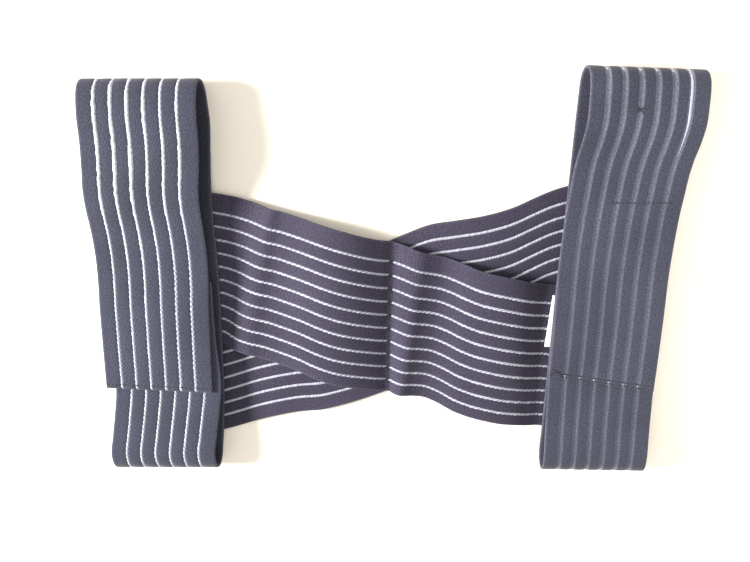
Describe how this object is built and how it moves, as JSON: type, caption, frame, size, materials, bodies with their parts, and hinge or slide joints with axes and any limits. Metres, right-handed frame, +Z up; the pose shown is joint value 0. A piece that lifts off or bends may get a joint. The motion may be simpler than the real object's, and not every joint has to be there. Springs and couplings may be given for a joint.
{
  "type": "posture corrector",
  "caption": "Elastic posture corrector lying flat: striped webbing arm loops, lapped and sewn, joined by wide bands that cross and are seamed at the middle of the back.",
  "frame": {"origin": "on the surface that it lies on, under the middle of its box", "axes": "+X from the left loop to the right loop, +Y towards the loops' top folds, +Z up from the surface"},
  "size_m": [0.3934, 0.2816, 0.0211],
  "materials": {
    "strap_webbing": "matt woven elastic, dark slate with white stripes in grooves",
    "band_webbing": "matt woven elastic, dark slate with thin white stripes in grooves",
    "label_cloth": "plain white woven tape, blank"
  },
  "bodies": {
    "root": {"left_shoulder_loop": "strap_webbing", "right_shoulder_loop": "strap_webbing", "cross_band_over": "band_webbing", "cross_band_under": "band_webbing", "label": "label_cloth"}
  },
  "joints": []
}
